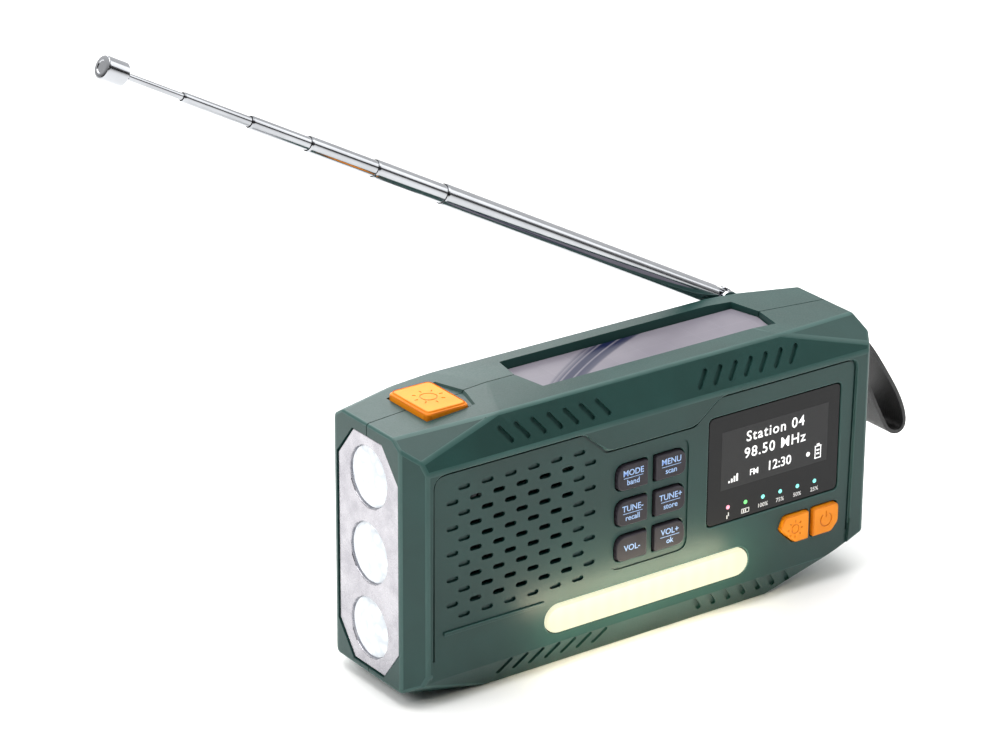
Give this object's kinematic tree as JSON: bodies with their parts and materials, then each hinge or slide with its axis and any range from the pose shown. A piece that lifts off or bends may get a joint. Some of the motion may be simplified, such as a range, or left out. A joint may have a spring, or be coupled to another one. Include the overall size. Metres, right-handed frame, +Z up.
{
  "type": "emergency radio",
  "caption": "Boxy faceted emergency radio with an end torch, front reading lamp, display, keys, solar panel, telescopic antenna, folding rear crank and wrist strap.",
  "frame": {"origin": "middle of the flat base, on the plane that the radio stands on", "axes": "+X runs along the length towards the strap end, +Z is up, the front with display and keys faces -Y, the torch end is -X"},
  "size_m": [0.2474, 0.0634, 0.1855],
  "materials": {
    "shell_green": "fine-textured moulded ABS",
    "orange_plastic": "satin moulded ABS",
    "key_plastic": "matt moulded caps with pale legends",
    "smoked_window": "polished smoked acrylic",
    "display_glass": "polished",
    "lamp_diffuser": "opal, lit",
    "torch_lens": "polished clear, lit",
    "light_guide": "clear moulded",
    "plated_reflector": "vacuum-plated",
    "led_board": "white solder mask",
    "solar_cells": "clear epoxy over cells",
    "circuit_board": "green solder mask",
    "pressed_steel": "pressed and plated",
    "speaker_paper": "pressed pulp",
    "cell_sleeve": "shrink sleeve",
    "antenna_chrome": "polished chrome plate",
    "black_plastic": "textured nylon",
    "zinc_steel": "zinc-plated",
    "gear_nylon": "natural nylon",
    "pinion_brass": "turned",
    "cover_rubber": "matt moulded",
    "strap_webbing": "woven polyester webbing"
  },
  "bodies": {
    "case": {"front_shell": "shell_green", "rear_shell": "shell_green", "torch_reflector": "plated_reflector", "torch_lens_1": "torch_lens", "torch_lens_2": "torch_lens", "torch_lens_3": "torch_lens", "torch_led_board": "led_board", "solar_panel": "solar_cells", "lamp_diffuser": "lamp_diffuser", "lamp_led_board": "led_board", "display_window": "smoked_window", "display_module": "display_glass", "indicator_light_guide": "light_guide", "main_board": "circuit_board", "speaker_basket": "pressed_steel", "speaker_cone": "speaker_paper", "speaker_magnet": "pressed_steel", "lithium_cell": "cell_sleeve", "aaa_cell_1": "cell_sleeve", "aaa_cell_2": "cell_sleeve", "aaa_cell_3": "cell_sleeve", "gear_axle": "zinc_steel", "generator_body": "pressed_steel", "usb_a_socket": "pressed_steel", "usb_c_socket": "pressed_steel", "strap_pin": "zinc_steel", "case_screw_1": "zinc_steel", "case_screw_2": "zinc_steel", "case_screw_3": "zinc_steel", "case_screw_4": "zinc_steel"},
    "key_mode": {"key_mode": "key_plastic"},
    "key_tune_down": {"key_tune_down": "key_plastic"},
    "key_volume_down": {"key_volume_down": "key_plastic"},
    "key_menu": {"key_menu": "key_plastic"},
    "key_tune_up": {"key_tune_up": "key_plastic"},
    "key_volume_up": {"key_volume_up": "key_plastic"},
    "light_button": {"light_button": "orange_plastic"},
    "power_button": {"power_button": "orange_plastic"},
    "sos_button": {"sos_button": "orange_plastic"},
    "antenna_knuckle": {"antenna_knuckle": "antenna_chrome", "antenna_rivet": "antenna_chrome"},
    "antenna_base": {"antenna_base_tube": "antenna_chrome"},
    "antenna_2": {"antenna_section_2": "antenna_chrome"},
    "antenna_3": {"antenna_section_3": "antenna_chrome"},
    "antenna_4": {"antenna_section_4": "antenna_chrome"},
    "antenna_5": {"antenna_section_5": "antenna_chrome"},
    "antenna_6": {"antenna_section_6": "antenna_chrome", "antenna_tip": "antenna_chrome"},
    "crank_hub": {"crank_hub": "black_plastic", "crank_hinge_pin": "zinc_steel", "crank_gear": "gear_nylon"},
    "crank_arm": {"crank_arm": "shell_green", "crank_knob_screw": "zinc_steel"},
    "crank_knob": {"crank_knob": "black_plastic"},
    "compound_gear": {"compound_gear": "gear_nylon"},
    "generator_rotor": {"generator_pinion": "pinion_brass"},
    "battery_door": {"battery_door": "shell_green"},
    "port_cover": {"port_cover": "cover_rubber"},
    "wrist_strap": {"wrist_strap": "strap_webbing"}
  },
  "joints": [
    {"name": "key_mode_press", "type": "slide", "parent": "case", "child": "key_mode", "axis": [0, 1, 0], "range_m": [0, 0.0008], "stiffness_N_per_m": 400, "springref_m": -0.0005},
    {"name": "key_tune_down_press", "type": "slide", "parent": "case", "child": "key_tune_down", "axis": [0, 1, 0], "range_m": [0, 0.0008], "stiffness_N_per_m": 400, "springref_m": -0.0005},
    {"name": "key_volume_down_press", "type": "slide", "parent": "case", "child": "key_volume_down", "axis": [0, 1, 0], "range_m": [0, 0.0008], "stiffness_N_per_m": 400, "springref_m": -0.0005},
    {"name": "key_menu_press", "type": "slide", "parent": "case", "child": "key_menu", "axis": [0, 1, 0], "range_m": [0, 0.0008], "stiffness_N_per_m": 400, "springref_m": -0.0005},
    {"name": "key_tune_up_press", "type": "slide", "parent": "case", "child": "key_tune_up", "axis": [0, 1, 0], "range_m": [0, 0.0008], "stiffness_N_per_m": 400, "springref_m": -0.0005},
    {"name": "key_volume_up_press", "type": "slide", "parent": "case", "child": "key_volume_up", "axis": [0, 1, 0], "range_m": [0, 0.0008], "stiffness_N_per_m": 400, "springref_m": -0.0005},
    {"name": "light_button_press", "type": "slide", "parent": "case", "child": "light_button", "axis": [0, 1, 0], "range_m": [0, 0.0008], "stiffness_N_per_m": 400, "springref_m": -0.0005},
    {"name": "power_button_press", "type": "slide", "parent": "case", "child": "power_button", "axis": [0, 1, 0], "range_m": [0, 0.0008], "stiffness_N_per_m": 400, "springref_m": -0.0005},
    {"name": "sos_button_press", "type": "slide", "parent": "case", "child": "sos_button", "axis": [0, 0, -1], "range_m": [0, 0.001], "stiffness_N_per_m": 400, "springref_m": -0.0005},
    {"name": "antenna_swing", "type": "hinge", "parent": "case", "child": "antenna_knuckle", "pos_m": [0.055, 0.0196, 0.0763], "axis": [0, 1, 0], "range_deg": [-28.1, 115]},
    {"name": "antenna_fold", "type": "hinge", "parent": "antenna_knuckle", "child": "antenna_base", "pos_m": [0.055, 0.0196, 0.0763], "axis": [-0.471, 0, -0.8821], "range_deg": [0, 90]},
    {"name": "antenna_slide_2", "type": "slide", "parent": "antenna_base", "child": "antenna_2", "axis": [-0.8821, 0, 0.471], "range_m": [-0.0247, 0.0623]},
    {"name": "antenna_slide_3", "type": "slide", "parent": "antenna_2", "child": "antenna_3", "axis": [-0.8821, 0, 0.471], "range_m": [-0.0231, 0.0609]},
    {"name": "antenna_slide_4", "type": "slide", "parent": "antenna_3", "child": "antenna_4", "axis": [-0.8821, 0, 0.471], "range_m": [-0.0199, 0.0611]},
    {"name": "antenna_slide_5", "type": "slide", "parent": "antenna_4", "child": "antenna_5", "axis": [-0.8821, 0, 0.471], "range_m": [-0.0223, 0.0557]},
    {"name": "antenna_slide_6", "type": "slide", "parent": "antenna_5", "child": "antenna_6", "axis": [-0.8821, 0, 0.471], "range_m": [-0.0183, 0.0567]},
    {"name": "crank_turn", "type": "hinge", "parent": "case", "child": "crank_hub", "pos_m": [0.003, 0.0155, 0.0515], "axis": [0, 1, 0], "continuous": true},
    {"name": "crank_fold", "type": "hinge", "parent": "crank_hub", "child": "crank_arm", "pos_m": [0.003, 0.0224, 0.0515], "axis": [0, 0, -1], "range_deg": [0, 180]},
    {"name": "crank_knob_spin", "type": "hinge", "parent": "crank_arm", "child": "crank_knob", "pos_m": [-0.041, 0.035, 0.0515], "axis": [0, 1, 0], "continuous": true},
    {"name": "compound_gear_turn", "type": "hinge", "parent": "case", "child": "compound_gear", "pos_m": [0.003, 0.008, 0.0265], "axis": [0, 1, 0], "continuous": true},
    {"name": "generator_turn", "type": "hinge", "parent": "case", "child": "generator_rotor", "pos_m": [0.02032, 0.0065, 0.0165], "axis": [0, 1, 0], "continuous": true},
    {"name": "battery_door_lift", "type": "slide", "parent": "case", "child": "battery_door", "axis": [0, 1, 0], "range_m": [0, 0.03]},
    {"name": "port_cover_open", "type": "hinge", "parent": "case", "child": "port_cover", "pos_m": [0.053, 0.0219, 0.011], "axis": [-1, 0, 0], "range_deg": [0, 120]},
    {"name": "strap_swing", "type": "hinge", "parent": "case", "child": "wrist_strap", "pos_m": [0.0762, 0, 0.0668], "axis": [0, -1, 0], "range_deg": [-4, 33]}
  ],
  "couplings": [
    {"joint": "compound_gear_turn", "follows": "crank_turn", "ratio": -4},
    {"joint": "generator_turn", "follows": "crank_turn", "ratio": 12}
  ]
}
